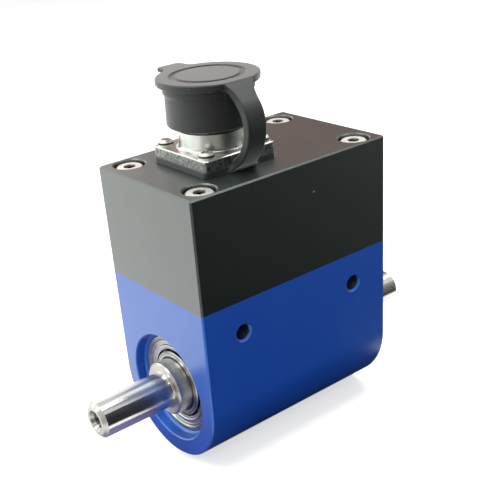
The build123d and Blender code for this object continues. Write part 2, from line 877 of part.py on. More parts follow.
# Strap that ties the cap to the gasket: its side profile, trimmed to its shape from the front
strap_start = cap_flat_reach + strap_end_gap
strap_far = cap_disc_radius + strap_bow
half_thick = strap_thickness / 2
slope = math.radians(strap_slope)
fall_start_y = half_thick * math.sin(slope) - cap_flat_reach
fall_start_z = cap_top_z - half_thick * math.cos(slope)
with BuildPart() as cap_strap:
    with BuildSketch(Plane.YZ.offset(connector_x)):
        with BuildLine():
            fall = Line(
                (fall_start_y, fall_start_z),
                (
                    fall_start_y - strap_slope_width,
                    fall_start_z - strap_slope_width * math.tan(slope),
                ),
            )
            shoulder = TangentArc(
                fall @ 1,
                (half_thick - strap_far, top_height + strap_belly_height),
                tangent=fall % 1,
            )
            belly = TangentArc(
                shoulder @ 1,
                (-gasket_half, top_height + half_thick + strap_foot_lift),
                tangent=shoulder % 1,
            )
            Line(belly @ 1, belly @ 1 + (belly % 1) * strap_thickness)
        trace(line_width=strap_thickness)
    extrude(amount=strap_root_width, both=True)
    with BuildSketch(Plane.XZ.offset(gasket_half)):
        with BuildLine():
            for hand in (-1, 1):
                root_end = (connector_x + hand * strap_root_width / 2, cap_top_z)
                root_start = (connector_x + hand * strap_width / 2, top_height + strap_root_height)
                foot_start = (connector_x + hand * strap_width / 2, top_height + strap_foot_height)
                foot_end = (connector_x + hand * strap_foot_width / 2, top_height)
                TangentArc(root_start, root_end, tangent=(0, 1))
                Line(root_start, foot_start)
                TangentArc(foot_start, foot_end, tangent=(0, -1))
            for level, width in ((cap_top_z, strap_root_width), (top_height, strap_foot_width)):
                Line((connector_x - width / 2, level), (connector_x + width / 2, level))
        make_face()
    extrude(amount=2 * strap_far, mode=Mode.INTERSECT)
    flanks = cap_strap.faces().filter_by(is_flank)
    fillet(flanks.edges().filter_by(is_long_edge), strap_corner)
    with BuildSketch(Plane.XY.offset(skirt_bottom)):
        with Locations((connector_x, 0)):
            Rectangle(2 * strap_root_width, 2 * strap_start)
    extrude(amount=cap_top_z - skirt_bottom, mode=Mode.SUBTRACT)
finish(cap_strap, "cap_strap")


def wire(points, bend=wire_bend):
    """A round wire along straight runs joined by bends."""
    with BuildPart() as run:
        with BuildLine() as route:
            if len(points) > 2:
                FilletPolyline(*points, radius=bend)
            else:
                Line(*points)
        with BuildSketch(Plane(origin=route.line @ 0, z_dir=route.line % 0)):
            Circle(wire_radius)
        sweep()
    return run.part


# Leads from the connector's contacts down to the header on the board
lead_pitch = (header_width - 2 * wire_radius - 2 * seat_gap) / contact_ring_count
lead_order = sorted(range(len(contact_places)), key=lambda place: contact_places[place][1])
lead_straight = min(wire_straight, (contact_bottom - header_top) / wire_runs)
lead_bend = min(wire_bend, lead_straight - 2 * seat_gap)
with BuildPart() as connector_leads:
    for row, place in enumerate(lead_order):
        lead_x, lead_y = contact_places[place]
        landing_y = (row - contact_ring_count / 2) * lead_pitch
        add(
            wire(
                [
                    (lead_x, lead_y, contact_bottom),
                    (lead_x, lead_y, contact_bottom - lead_straight),
                    (connector_x, landing_y, header_top + lead_straight),
                    (connector_x, landing_y, header_top),
                ],
                lead_bend,
            )
        )
finish(connector_leads, "connector_leads")

# Leads from the stator coils up to the underside of the board
with BuildPart() as coil_leads:
    for side in sides.values():
        for across in (-coil_wire_pitch / 2, coil_wire_pitch / 2):
            nearest = abs(across) - wire_radius
            foot_z = math.sqrt(stator_outer_radius**2 - nearest**2) + seat_gap
            lead_x = middle + side * core_offset
            add(wire([(lead_x, across, foot_z), (lead_x, across, board_bottom)]))
finish(coil_leads, "coil_leads")
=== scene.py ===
# %% [markdown]
# # A rotary torque sensor
#
# The real object is a block of two anodised aluminium halves, blue below and black above. One steel
# shaft runs through the lower half on two ball bearings, and a metal socket stands on top under a
# rubber dust cap. The solid model already holds every piece at its real size. This notebook gives
# the pieces their finishes, moulds the rubber parts, cuts the threads, and sets up camera and light.
#
# First the solid model is loaded. Its units are metres, with X along the shaft, Z up, and the origin
# on the shaft axis at the shoulder of the near shaft end.

# %% Load the solid model
import json
import math
import bpy
import numpy as np
from mathutils import Matrix, Vector


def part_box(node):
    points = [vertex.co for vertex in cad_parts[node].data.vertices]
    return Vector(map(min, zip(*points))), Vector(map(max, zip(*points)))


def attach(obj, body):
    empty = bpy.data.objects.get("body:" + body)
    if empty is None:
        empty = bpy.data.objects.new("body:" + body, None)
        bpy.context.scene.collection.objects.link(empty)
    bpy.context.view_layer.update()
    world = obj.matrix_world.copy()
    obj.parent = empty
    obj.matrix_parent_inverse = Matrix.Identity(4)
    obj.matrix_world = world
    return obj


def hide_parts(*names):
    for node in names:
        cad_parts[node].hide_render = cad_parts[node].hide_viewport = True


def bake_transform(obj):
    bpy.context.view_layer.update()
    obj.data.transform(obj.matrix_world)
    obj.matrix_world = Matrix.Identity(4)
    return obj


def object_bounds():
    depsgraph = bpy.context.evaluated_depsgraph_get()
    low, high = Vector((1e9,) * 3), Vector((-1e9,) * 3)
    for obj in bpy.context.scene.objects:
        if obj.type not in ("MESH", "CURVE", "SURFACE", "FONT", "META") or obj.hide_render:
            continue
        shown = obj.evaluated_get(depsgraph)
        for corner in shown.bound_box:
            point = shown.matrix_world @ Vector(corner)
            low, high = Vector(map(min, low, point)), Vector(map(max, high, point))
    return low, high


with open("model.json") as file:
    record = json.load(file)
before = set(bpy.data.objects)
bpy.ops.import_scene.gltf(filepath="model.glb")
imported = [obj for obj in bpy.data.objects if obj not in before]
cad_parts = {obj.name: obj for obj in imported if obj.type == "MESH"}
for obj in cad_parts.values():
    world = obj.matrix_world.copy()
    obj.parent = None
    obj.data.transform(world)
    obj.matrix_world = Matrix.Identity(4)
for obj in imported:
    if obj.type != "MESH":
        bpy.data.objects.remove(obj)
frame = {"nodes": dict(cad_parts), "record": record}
nodes = frame["nodes"]
cad_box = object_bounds()
MM = 0.001
print("pieces:", len(nodes))
print("size in mm:", [round(side / MM, 1) for side in cad_box[1] - cad_box[0]])

# %% [markdown]
# ## Tools for finishes
#
# A finish is a small tree of nodes. Picking colours is easiest as sRGB hex values, as any paint
# program shows them, but the shader wants linear light, so one function converts them. A second
# function adds a node together with its settings and its incoming links, which keeps each finish
# down to a few readable lines.

# %% Colour and node helpers
def colour(hex_value):
    """Linear RGBA of an sRGB colour written as six hex digits."""
    parts = [int(hex_value[place:place + 2], 16) / 255 for place in (0, 2, 4)]
    return [c / 12.92 if c <= 0.04045 else ((c + 0.055) / 1.055) ** 2.4 for c in parts] + [1.0]


def add_node(tree, kind, settings=None, links=None):
    """Adds a node. Settings name a property or an input, and links name an input."""
    node = tree.nodes.new(kind)
    for key, value in (settings or {}).items():
        if isinstance(key, str) and hasattr(node, key):
            setattr(node, key, value)
        else:
            node.inputs[key].default_value = value
    for key, source in (links or {}).items():
        tree.links.new(source, node.inputs[key])
    return node


def new_finish(name, **values):
    """A material with one Principled shader, its even values set on the shader's own sockets."""
    material = bpy.data.materials.new(name)
    material.use_nodes = True
    shader = material.node_tree.nodes["Principled BSDF"]
    for key, value in values.items():
        shader.inputs[key.replace("_", " ")].default_value = value
    return material, material.node_tree, shader


print("mid grey in linear light:", round(colour("808080")[0], 3))

# %% [markdown]
# The real size of a pattern decides its scale: a noise texture with a scale of 1000 has one lump per
# millimetre, because the coordinates are metres. A helper turns millimetres per lump into a scale.

# %% Size of a pattern
def per(size_mm):
    """Texture scale for a pattern whose features are size_mm apart."""
    return 1 / (size_mm * MM)


print("scale for a 0.5 mm grain:", per(0.5))

# %% [markdown]
# ## Anodised aluminium
#
# Both halves are milled from aluminium, blasted, and dyed in an anodising bath. The bath grows a
# clear oxide skin and the dye soaks into it, so the eye sees a deep colour below a satin gloss that
# turns pale at a flat angle. The oxide bends light more than plastic does, with an IOR of 1.65, and
# the sealed outside of the skin is a second clear layer, which is the shader's coat. The edges were
# chamfered with a sharp tool. On the blue half the chamfers get a paler blue, a painted highlight of
# the bright lines they catch, and on the black half a slightly darker tone. A bevel or pointiness
# node could find them, but the first is slow and the second depends on the mesh.
# The chamfers are at 45 degrees, so the object's own normal finds them: one of its parts is then
# 0.707. The blasting grit is about 0.1 mm, too fine to show here, so it is drawn at 0.3 mm.
#
# A part that has lain about has dust on it. A cell pattern with random cells gives that: few of the
# cells are picked, and only the middle of each picked one turns grey.

# %% Dust
def dusted(tree, place, clean, tone, spacing_mm, picked, radius):
    """Specks of dust over a clean colour, one in each of the few cells that are picked."""
    cells = add_node(tree, "ShaderNodeTexVoronoi", {"Scale": per(spacing_mm)},
                     {"Vector": place.outputs["Object"]})
    chance = add_node(tree, "ShaderNodeSeparateColor", links={0: cells.outputs["Color"]})
    rare = add_node(tree, "ShaderNodeMath", {"operation": "LESS_THAN", 1: picked},
                    {0: chance.outputs[0]})
    middle = add_node(tree, "ShaderNodeMath", {"operation": "LESS_THAN", 1: radius},
                      {0: cells.outputs["Distance"]})
    speck = add_node(tree, "ShaderNodeMath", {"operation": "MULTIPLY"},
                     {0: rare.outputs[0], 1: middle.outputs[0]})
    return add_node(tree, "ShaderNodeMix", {"data_type": "RGBA", 7: colour(tone)},
                    {0: speck.outputs[0], 6: clean.outputs[2]})


DUST_SPACING_MM, SPECK_RADIUS = 5.5, 0.045
print("a dust speck on the block is", round(2 * SPECK_RADIUS * DUST_SPACING_MM, 1), "mm wide")

# %% Anodised finish
CHAMFER_PART, CHAMFER_SLACK = 0.707, 0.12


def anodised(name, dye, cloud, edge, tint, coat, chamfer_axes, dust):
    """Satin dyed skin with faint clouds, a few dust specks, and chamfers in a tone of their own,
    which on the blue half is a painted highlight.
    """
    finish, tree, shader = new_finish(name, IOR=1.65, Specular_Tint=colour(tint), Coat_Weight=coat,
                                      Coat_Roughness=0.38, Coat_IOR=1.6)
    place = add_node(tree, "ShaderNodeTexCoord")
    clouds = add_node(tree, "ShaderNodeTexNoise", {"Scale": per(14), "Detail": 3.0},
                      {"Vector": place.outputs["Object"]})
    base = add_node(tree, "ShaderNodeMix", {"data_type": "RGBA", 6: colour(dye), 7: colour(cloud)},
                    {0: clouds.outputs["Fac"]})
    normal = add_node(tree, "ShaderNodeVectorMath", {"operation": "ABSOLUTE"},
                      {0: place.outputs["Normal"]})
    parts = add_node(tree, "ShaderNodeSeparateXYZ", links={0: normal.outputs[0]})
    found = [
        add_node(tree, "ShaderNodeMath", {"operation": "COMPARE", 1: CHAMFER_PART, 2: CHAMFER_SLACK},
                 {0: parts.outputs[axis]})
        for axis in chamfer_axes
    ]
    chamfer = found[0]
    for other in found[1:]:
        chamfer = add_node(tree, "ShaderNodeMath", {"operation": "MAXIMUM"},
                           {0: chamfer.outputs[0], 1: other.outputs[0]})
    # Chamfer tone: on the blue half it is paler, a painted highlight.
    chamfer_tone_and_highlight = add_node(tree, "ShaderNodeMix", {"data_type": "RGBA", 7: colour(edge)},
                     {0: chamfer.outputs[0], 6: base.outputs[2]})
    skin = dusted(tree, place, chamfer_tone_and_highlight, "A9A8A2", DUST_SPACING_MM, dust, SPECK_RADIUS)
    tree.links.new(skin.outputs[2], shader.inputs["Base Color"])
    smear = add_node(tree, "ShaderNodeTexNoise", {"Scale": per(9), "Detail": 2.0},
                     {"Vector": place.outputs["Object"]})
    gloss = add_node(tree, "ShaderNodeMapRange", {"To Min": 0.36, "To Max": 0.46},
                     {"Value": smear.outputs["Fac"]})
    sharp = add_node(tree, "ShaderNodeMapRange", {"To Max": 0.5},
                     {"Value": chamfer.outputs[0], "To Min": gloss.outputs[0]})
    tree.links.new(sharp.outputs[0], shader.inputs["Roughness"])
    grit = add_node(tree, "ShaderNodeTexNoise", {"Scale": per(0.3), "Detail": 2.0},
                    {"Vector": place.outputs["Object"]})
    bump = add_node(tree, "ShaderNodeBump", {"Strength": 0.12, "Distance": 0.02 * MM},
                    {"Height": grit.outputs["Fac"]})
    tree.links.new(bump.outputs[0], shader.inputs["Normal"])
    return finish


# The paler blue chamfer tone is a painted highlight; the black half's chamfers are slightly darker.
blue_anodised = anodised("anodised_aluminium_blue", dye="044ABA", cloud="0850C2", edge="1C62D4",
                         tint="C0FFD0", coat=0.65, chamfer_axes=[0], dust=0.04)
black_anodised = anodised("anodised_aluminium_black", dye="111615", cloud="171D1B", edge="0E1110",
                          tint="ECFFF6", coat=0.75, chamfer_axes=[0, 1], dust=0.12)
# A darker blue for the threads in the side holes: painted shade.
painted_shade_blue = anodised("anodised_aluminium_blue_painted_shade", dye="03102E", cloud="051538", edge="051538",
                       tint="FFFFFF", coat=0.0, chamfer_axes=[0], dust=0.0)
print("anodised finishes:", blue_anodised.name, black_anodised.name, painted_shade_blue.name)

# %% [markdown]
# ## Turned and ground steel
#
# The shaft and the bearing rings are round parts, finished on a lathe and a grinder, so their marks
# run in rings about the shaft axis. A picture of brushed metal would need unwrapped seams. A ring
# pattern in the shader needs only one number that stays the same all the way round: the distance
# along the axis plus the distance from it does so on a cylinder and on a flat end face alike. The
# real marks are about 0.02 mm apart, too fine to show, and are drawn at 0.12 mm on the shaft and
# coarser on the bearings and screws. They roughen the gloss in fine bands. Since they run round the
# axis, a highlight stays narrow round the shaft and is drawn out along it, which is what the shader
# calls anisotropic. End faces and chamfers were only turned, and are duller than the ground barrels:
# the object's own normal tells them apart. The centre hole that the lathe's point ran in is painted
# darker, as painted shade.

# %% Steel with turning marks
CENTRE_HOLE_MM = 2.4
END_FACE_PART = 0.5


def turned_steel(name, tone, dark_tone, faced_tone, gloss_range, faced_gloss, mark_mm, depth_mm,
                 brushed):
    """Bright metal with marks that run round the shaft axis."""
    finish, tree, shader = new_finish(name, Metallic=1.0, Anisotropic=brushed,
                                      Anisotropic_Rotation=0.25)
    round_axis = add_node(tree, "ShaderNodeTangent", {"direction_type": "RADIAL", "axis": "X"})
    tree.links.new(round_axis.outputs[0], shader.inputs["Tangent"])
    place = add_node(tree, "ShaderNodeTexCoord")
    parts = add_node(tree, "ShaderNodeSeparateXYZ", links={0: place.outputs["Object"]})
    flat = add_node(tree, "ShaderNodeCombineXYZ",
                    links={"Y": parts.outputs["Y"], "Z": parts.outputs["Z"]})
    radius = add_node(tree, "ShaderNodeVectorMath", {"operation": "LENGTH"}, {0: flat.outputs[0]})
    along = add_node(tree, "ShaderNodeMath", {"operation": "ADD"},
                     {0: parts.outputs["X"], 1: radius.outputs["Value"]})
    rings = add_node(tree, "ShaderNodeTexNoise",
                     {"noise_dimensions": "1D", "Scale": per(mark_mm), "Detail": 4.0},
                     {"W": along.outputs[0]})
    stains = add_node(tree, "ShaderNodeTexNoise", {"Scale": per(6), "Detail": 3.0},
                      {"Vector": place.outputs["Object"]})
    lines = add_node(tree, "ShaderNodeMapRange", {"From Min": 0.38, "From Max": 0.56},
                     {"Value": rings.outputs["Fac"]})
    both = add_node(tree, "ShaderNodeMath", {"operation": "MULTIPLY"},
                    {0: lines.outputs[0], 1: stains.outputs["Fac"]})
    base = add_node(tree, "ShaderNodeMix",
                    {"data_type": "RGBA", 6: colour(dark_tone), 7: colour(tone)},
                    {0: both.outputs[0]})
    # Painted shade: the centre hole near the axis gets a darker tone.
    hole = add_node(tree, "ShaderNodeMath", {"operation": "LESS_THAN", 1: CENTRE_HOLE_MM * MM},
                    {0: radius.outputs["Value"]})
    centre = add_node(tree, "ShaderNodeMix", {"data_type": "RGBA", 7: colour("6A6763")},
                      {0: hole.outputs[0], 6: base.outputs[2]})
    gloss = add_node(tree, "ShaderNodeMapRange",
                     {"To Min": gloss_range[0], "To Max": gloss_range[1]},
                     {"Value": rings.outputs["Fac"]})
    facing = add_node(tree, "ShaderNodeSeparateXYZ", links={0: place.outputs["Normal"]})
    across = add_node(tree, "ShaderNodeMath", {"operation": "ABSOLUTE"}, {0: facing.outputs["X"]})
    faced = add_node(tree, "ShaderNodeMath", {"operation": "GREATER_THAN", 1: END_FACE_PART},
                     {0: across.outputs[0]})
    skin = add_node(tree, "ShaderNodeMapRange", {"To Max": faced_gloss},
                    {"Value": faced.outputs[0], "To Min": gloss.outputs[0]})
    tree.links.new(skin.outputs[0], shader.inputs["Roughness"])
    dull = add_node(tree, "ShaderNodeMix",
                    {"data_type": "RGBA", "blend_type": "MULTIPLY", 7: colour(faced_tone)},
                    {0: faced.outputs[0], 6: centre.outputs[2]})
    tree.links.new(dull.outputs[2], shader.inputs["Base Color"])
    bump = add_node(tree, "ShaderNodeBump", {"Strength": 0.25, "Distance": depth_mm * MM},
                    {"Height": rings.outputs["Fac"]})
    tree.links.new(bump.outputs[0], shader.inputs["Normal"])
    return finish


ground_steel = turned_steel(
    "shaft_steel_ground", tone="E8E7E4", dark_tone="C4C2BE", faced_tone="D4D4D2",
    gloss_range=(0.14, 0.24), faced_gloss=0.34, mark_mm=0.12, depth_mm=0.0015, brushed=0.9)
bearing_steel = turned_steel(
    "bearing_steel_polished", tone="F0F0EE", dark_tone="60605E", faced_tone="F4F4F4",
    gloss_range=(0.18, 0.3), faced_gloss=0.34, mark_mm=0.36, depth_mm=0.002, brushed=0.7)
screw_steel = turned_steel(
    "screw_steel_plated", tone="F8F7F2", dark_tone="CECBC4", faced_tone="FFFFFF",
    gloss_range=(0.44, 0.6), faced_gloss=0.5, mark_mm=0.3, depth_mm=0.004, brushed=0.0)
print("steel finishes:", ground_steel.name, bearing_steel.name, screw_steel.name)

# %% [markdown]
# The hexagon sockets of the cover screws, and the crosses and the foot of the domed heads on the
# flange, get painted shade: a darker tone where light reaches them less. An occlusion node could look
# for hollows, but it is slow and noisy. All of these places lie at known heights, so a ramp of tones
# that follows the height paints the shade. The same ramp serves again for the cards in the studio
# below.

# %% A ramp of tones along a coordinate
def tones_along(tree, coordinate, levels):
    """Tones that follow a coordinate in metres, from (millimetres, sRGB colour) pairs."""
    first, last = levels[0][0] * MM, levels[-1][0] * MM
    share = add_node(tree, "ShaderNodeMapRange", {"From Min": first, "From Max": last},
                     {"Value": coordinate})
    ramp = add_node(tree, "ShaderNodeValToRGB", links={0: share.outputs[0]})
    for spot, _ in levels[1:-1]:
        ramp.color_ramp.elements.new((spot * MM - first) / (last - first))
    for element, (_, tone) in zip(ramp.color_ramp.elements, levels):
        element.color = colour(tone)
    return ramp.outputs[0]


cover_top, dome_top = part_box("cover_screws")[1].z / MM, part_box("flange_screws")[1].z / MM
print("screw heads end at", round(cover_top, 1), "and", round(dome_top, 1), "mm")

# %% Painted shade in the screw heads
# The dark tones at these heights are painted shade in the sockets, the crosses and at the foot of the
# domes.
painted_shade_levels = [
    (cover_top - 0.8, "33322F"), (cover_top - 0.2, "FFFFFF"), (dome_top - 1.2, "FFFFFF"),
    (dome_top - 1.05, "3A3936"), (dome_top - 0.85, "3A3936"), (dome_top - 0.55, "FFFFFF"),
    (dome_top, "FFFFFF"),
]
tree = screw_steel.node_tree
shader = tree.nodes["Principled BSDF"]
unshaded_steel = shader.inputs["Base Color"].links[0].from_socket
place = add_node(tree, "ShaderNodeTexCoord")
parts = add_node(tree, "ShaderNodeSeparateXYZ", links={0: place.outputs["Object"]})
painted_shade_steel = add_node(tree, "ShaderNodeMix", {"data_type": "RGBA", "blend_type": "MULTIPLY", 0: 1.0},
                 {6: unshaded_steel, 7: tones_along(tree, parts.outputs["Z"], painted_shade_levels)})
tree.links.new(painted_shade_steel.outputs[2], shader.inputs["Base Color"])
print("painted shade tones at", len(painted_shade_levels), "heights")

# %% [markdown]
# ## Plated zinc casting
#
# The socket's body is cast in zinc and nickel plated. The barrel and the top were turned after
# casting and are smooth. The sides of the square flange keep the skin of the mould, a coarse
# sparkling grain of about 0.8 mm. Two materials on chosen faces could do this, but one material that
# looks at height and normal needs no selecting: the skin is on upright faces below the flange's top.

# %% Plated casting
HEAD_MM, TOP_EDGE_MM = 1.6, 0.2
UPRIGHT_PART = 0.3
plated_zinc, tree, shader = new_finish("zinc_nickel_plated", Metallic=1.0)
flange_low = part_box("flange_gasket")[1].z
flange_high = (dome_top - HEAD_MM - TOP_EDGE_MM) * MM
place = add_node(tree, "ShaderNodeTexCoord")
parts = add_node(tree, "ShaderNodeSeparateXYZ", links={0: place.outputs["Object"]})
facing = add_node(tree, "ShaderNodeSeparateXYZ", links={0: place.outputs["Normal"]})
upright = add_node(tree, "ShaderNodeMath", {"operation": "LESS_THAN", 1: UPRIGHT_PART},
                   {0: facing.outputs["Z"]})
below = add_node(tree, "ShaderNodeMath", {"operation": "LESS_THAN", 1: flange_high},
                 {0: parts.outputs["Z"]})
cast_skin = add_node(tree, "ShaderNodeMath", {"operation": "MULTIPLY"},
                     {0: upright.outputs[0], 1: below.outputs[0]})
grain = add_node(tree, "ShaderNodeTexNoise", {"Scale": per(0.8), "Detail": 4.0, "Roughness": 0.6},
                 {"Vector": place.outputs["Object"]})
strong = add_node(tree, "ShaderNodeMapRange", {"From Min": 0.3, "From Max": 0.7},
                  {"Value": grain.outputs["Fac"]})
tone = add_node(tree, "ShaderNodeMix",
                {"data_type": "RGBA", 6: colour("585C5E"), 7: colour("B6B8B6")},
                {0: strong.outputs[0]})
base = add_node(tree, "ShaderNodeMix", {"data_type": "RGBA", 6: colour("C8CAC4")},
                {0: cast_skin.outputs[0], 7: tone.outputs[2]})
tree.links.new(base.outputs[2], shader.inputs["Base Color"])
haze = add_node(tree, "ShaderNodeTexNoise", {"Scale": per(2.5), "Detail": 3.0},
                {"Vector": place.outputs["Object"]})
gloss = add_node(tree, "ShaderNodeMapRange", {"To Min": 0.22, "To Max": 0.38},
                 {"Value": haze.outputs["Fac"]})
tree.links.new(gloss.outputs[0], shader.inputs["Roughness"])
rough_height = add_node(tree, "ShaderNodeMath", {"operation": "MULTIPLY"},
                        {0: grain.outputs["Fac"], 1: cast_skin.outputs[0]})
bump = add_node(tree, "ShaderNodeBump", {"Strength": 0.7, "Distance": 0.16 * MM},
                {"Height": rough_height.outputs[0]})
tree.links.new(bump.outputs[0], shader.inputs["Normal"])
print("cast skin between", round(flange_low / MM, 2), "and", round(flange_high / MM, 2), "mm")

# %% [markdown]
# ## Rubber
#
# The cap, strap and gasket are one moulding in soft black rubber. Rubber is a dark dielectric with a
# rough skin. A bloom of wax and dust on it scatters light at flat angles, which is why the top of the
# cap looks mid grey while the front of the strap stays almost black. A paler colour would lift both
# alike, so the shader's sheen gives that bloom. Fine mottling of about a millimetre breaks up the
# gloss, and small dust clings to rubber more than to metal.

# %% Rubber finish
black_rubber, tree, shader = new_finish("rubber_black_moulded", IOR=1.5, Sheen_Weight=0.75,
                                        Sheen_Roughness=0.35)
place = add_node(tree, "ShaderNodeTexCoord")
mottle = add_node(tree, "ShaderNodeTexNoise", {"Scale": per(1.1), "Detail": 5.0, "Roughness": 0.6},
                  {"Vector": place.outputs["Object"]})
base = add_node(tree, "ShaderNodeMix",
                {"data_type": "RGBA", 6: colour("161818"), 7: colour("272A2A")},
                {0: mottle.outputs["Fac"]})
skin = dusted(tree, place, base, "7C807F", 1.6, 0.12, 0.07)
tree.links.new(skin.outputs[2], shader.inputs["Base Color"])
gloss = add_node(tree, "ShaderNodeMapRange", {"To Min": 0.42, "To Max": 0.6},
                 {"Value": mottle.outputs["Fac"]})
tree.links.new(gloss.outputs[0], shader.inputs["Roughness"])
bump = add_node(tree, "ShaderNodeBump", {"Strength": 0.2, "Distance": 0.04 * MM},
                {"Height": mottle.outputs["Fac"]})
tree.links.new(bump.outputs[0], shader.inputs["Normal"])
print("rubber finish:", black_rubber.name)

# %% [markdown]
# ## Finishes of the hidden parts
#
# Most of the inner pieces are only seen with the block taken apart: moulded plastics, a fibreglass
# board, copper windings, sintered iron, brass and foil. Their looks differ in three things, the two
# tones that a fine noise mixes, the gloss, and the size of the grain, so one function makes them all
# and no piece needs a tree of its own.

# %% Plain finishes with a grain
def grained(name, tone, second_tone, grain_mm, roughness, metal=0.0, stretch=(1, 1, 1)):
    """Two close tones mixed by a fine grain, which also lifts the surface a little."""
    finish, tree, shader = new_finish(name, Metallic=metal, Roughness=roughness)
    place = add_node(tree, "ShaderNodeTexCoord")
    shape = add_node(tree, "ShaderNodeMapping", {"Scale": stretch}, {0: place.outputs["Object"]})
    grain = add_node(tree, "ShaderNodeTexNoise", {"Scale": per(grain_mm), "Detail": 3.0},
                     {"Vector": shape.outputs[0]})
    base = add_node(tree, "ShaderNodeMix",
                    {"data_type": "RGBA", 6: colour(tone), 7: colour(second_tone)},
                    {0: grain.outputs["Fac"]})
    tree.links.new(base.outputs[2], shader.inputs["Base Color"])
    bump = add_node(tree, "ShaderNodeBump", {"Strength": 0.2, "Distance": 0.03 * MM},
                    {"Height": grain.outputs["Fac"]})
    tree.links.new(bump.outputs[0], shader.inputs["Normal"])
    return finish


finishes = {
    "blue_anodised": blue_anodised,
    "black_anodised": black_anodised,
    "ground_steel": ground_steel,
    "bearing_steel": bearing_steel,
    "screw_steel": screw_steel,
    "plated_zinc": plated_zinc,
    "black_rubber": black_rubber,
    "insert_plastic": grained("polyamide_black_moulded", "1A1A1B", "242425", 0.4, 0.45),
    "contact_brass": grained("brass_gold_plated", "E2BE68", "CFA850", 0.5, 0.22, 1.0),
    "core_iron": grained("iron_sintered", "4A4A4C", "5E5D5E", 0.3, 0.55, 1.0),
    "coil_wire": grained("copper_enamelled", "B4602C", "7E3C18", 0.25, 0.3, 1.0, (1, 0.15, 0.15)),
    "circuit_board": grained("fibreglass_green_mask", "0B4A22", "116030", 0.5, 0.35),
    "chip_plastic": grained("epoxy_black_moulded", "141415", "232324", 0.2, 0.6),
    "capacitor_can": grained("aluminium_drawn", "B9BABD", "A2A4A8", 0.4, 0.3, 1.0, (1, 1, 0.1)),
    "header_plastic": grained("nylon_natural_moulded", "DAD5C2", "E6E2D2", 0.6, 0.4),
    "lead_cover": grained("silicone_red_flexible", "8A1810", "A02418", 0.6, 0.5),
    "gauge_film": grained("polyimide_film", "C98A28", "A86C18", 0.4, 0.3),
}
for part in frame["record"]["subparts"]:
    mesh = nodes[part["node"]].data
    mesh.materials.clear()
    mesh.materials.append(finishes[part["material_slot"]])

# %% [markdown]
# ## Making a mesh
#
# New pieces are worked out as lists of points in millimetres and lists of faces. One function turns
# them into an object with a finish, ties it to the moving body that carries it, and says how many
# faces it has.

# %% From points to a piece
def mesh_piece(name, points_mm, faces, body=None, slot=None, standing_for=()):
    """A smooth shaded piece in metres, tied to its body, which hides the nodes that it stands for."""
    mesh = bpy.data.meshes.new(name)
    mesh.from_pydata((np.asarray(points_mm) * MM).tolist(), [], np.asarray(faces).tolist())
    mesh.validate()
    mesh.shade_smooth()
    piece = bpy.data.objects.new(name, mesh)
    bpy.context.scene.collection.objects.link(piece)
    mesh.materials.append(finishes[slot])
    if standing_for:
        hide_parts(*standing_for)
    if body:
        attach(piece, body)
    print(name, "has", len(mesh.polygons), "faces")
    return piece


print("slots that a new piece can take:", len(finishes))

# %% [markdown]
# ## The rubber moulding
#
# Gasket, strap and dust cap come out of one mould, so the forms melt into each other: the rim of the
# cap runs on into the edge of the strap with no seam. Box modelling with subdivision could do this,
# but each blend would need its own edge loops. A distance field is simpler. It is a function that
# says how far any point is from the surface, negative inside. Discs, rings and bands are short
# formulas, the smaller of two distances joins two forms, and a softened minimum leaves a fillet
# between them. All sizes are read from the solid model or are those of the real part.

# %% Distance formulas
def soft_min(a, b, fillet):
    """Joins two forms with a fillet."""
    return np.minimum(a, b) - np.maximum(fillet - np.abs(a - b), 0) ** 2 / (4 * fillet)


def rounded(across, along, corner):
    """A form with two half sizes already taken off, its edges rounded."""
    a, b = across + corner, along + corner
    return np.minimum(np.maximum(a, b), 0) + np.hypot(np.maximum(a, 0), np.maximum(b, 0)) - corner


def slab(outline, height, low, high, corner):
    """A flat plate: a plan outline between two heights."""
    return rounded(outline, np.abs(height - (low + high) / 2) - (high - low) / 2, corner)


def ring(radius, height, inner, outer, low, high, corner):
    """A ring with a rectangular section and rounded edges."""
    return slab(np.abs(radius - (inner + outer) / 2) - (outer - inner) / 2, height, low, high, corner)


print("fillet of two planes 1 mm away:", round(float(soft_min(np.array(1.0), np.array(1.0), 0.8)), 2))

# %% [markdown]
# The strap is a band along a curve in the plane of Y and Z. The curve leaves the cap's rim, falls at
# 47 degrees, bellies outward past the flange, and tucks back into the gasket, each arc tangent to the
# one before. Seen from the front, the band is 5.6 mm wide and flares in two hollow arcs, into the rim
# above and into the gasket below.

# %% The strap's curve
gasket_box, cap_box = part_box("flange_gasket"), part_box("dust_cap")
axis_x = (gasket_box[0].x + gasket_box[1].x) / 2 / MM
gasket_low, gasket_high = gasket_box[0].z / MM, gasket_box[1].z / MM
gasket_half = gasket_box[1].y / MM
cap_top, skirt_low = cap_box[1].z / MM, cap_box[0].z / MM
rim_radius = (cap_box[1].x - cap_box[0].x) / 2 / MM
rim_low = cap_top - 1.7
rim_flat = -cap_box[0].y / MM
band_half = 1.1
fall = math.radians(47)


def tangent_arc(start, end, direction, count):
    """Points of the arc that leaves start in a direction and ends at end, and its last direction."""
    start, end = np.array(start, float), np.array(end, float)
    chord = end - start
    turn = 2 * (math.atan2(chord[1], chord[0]) - math.atan2(direction[1], direction[0]))
    turn = (turn + math.pi) % (2 * math.pi) - math.pi
    radius = np.hypot(*chord) / (2 * math.sin(turn / 2))
    centre = start + radius * np.array([-direction[1], direction[0]])
    angles = np.linspace(0, turn, count + 1)[1:]
    arm = start - centre
    points = [
        centre + (arm[0] * math.cos(angle) - arm[1] * math.sin(angle),
                  arm[0] * math.sin(angle) + arm[1] * math.cos(angle))
        for angle in angles
    ]
    last = (direction[0] * math.cos(turn) - direction[1] * math.sin(turn),
            direction[0] * math.sin(turn) + direction[1] * math.cos(turn))
    return points, last


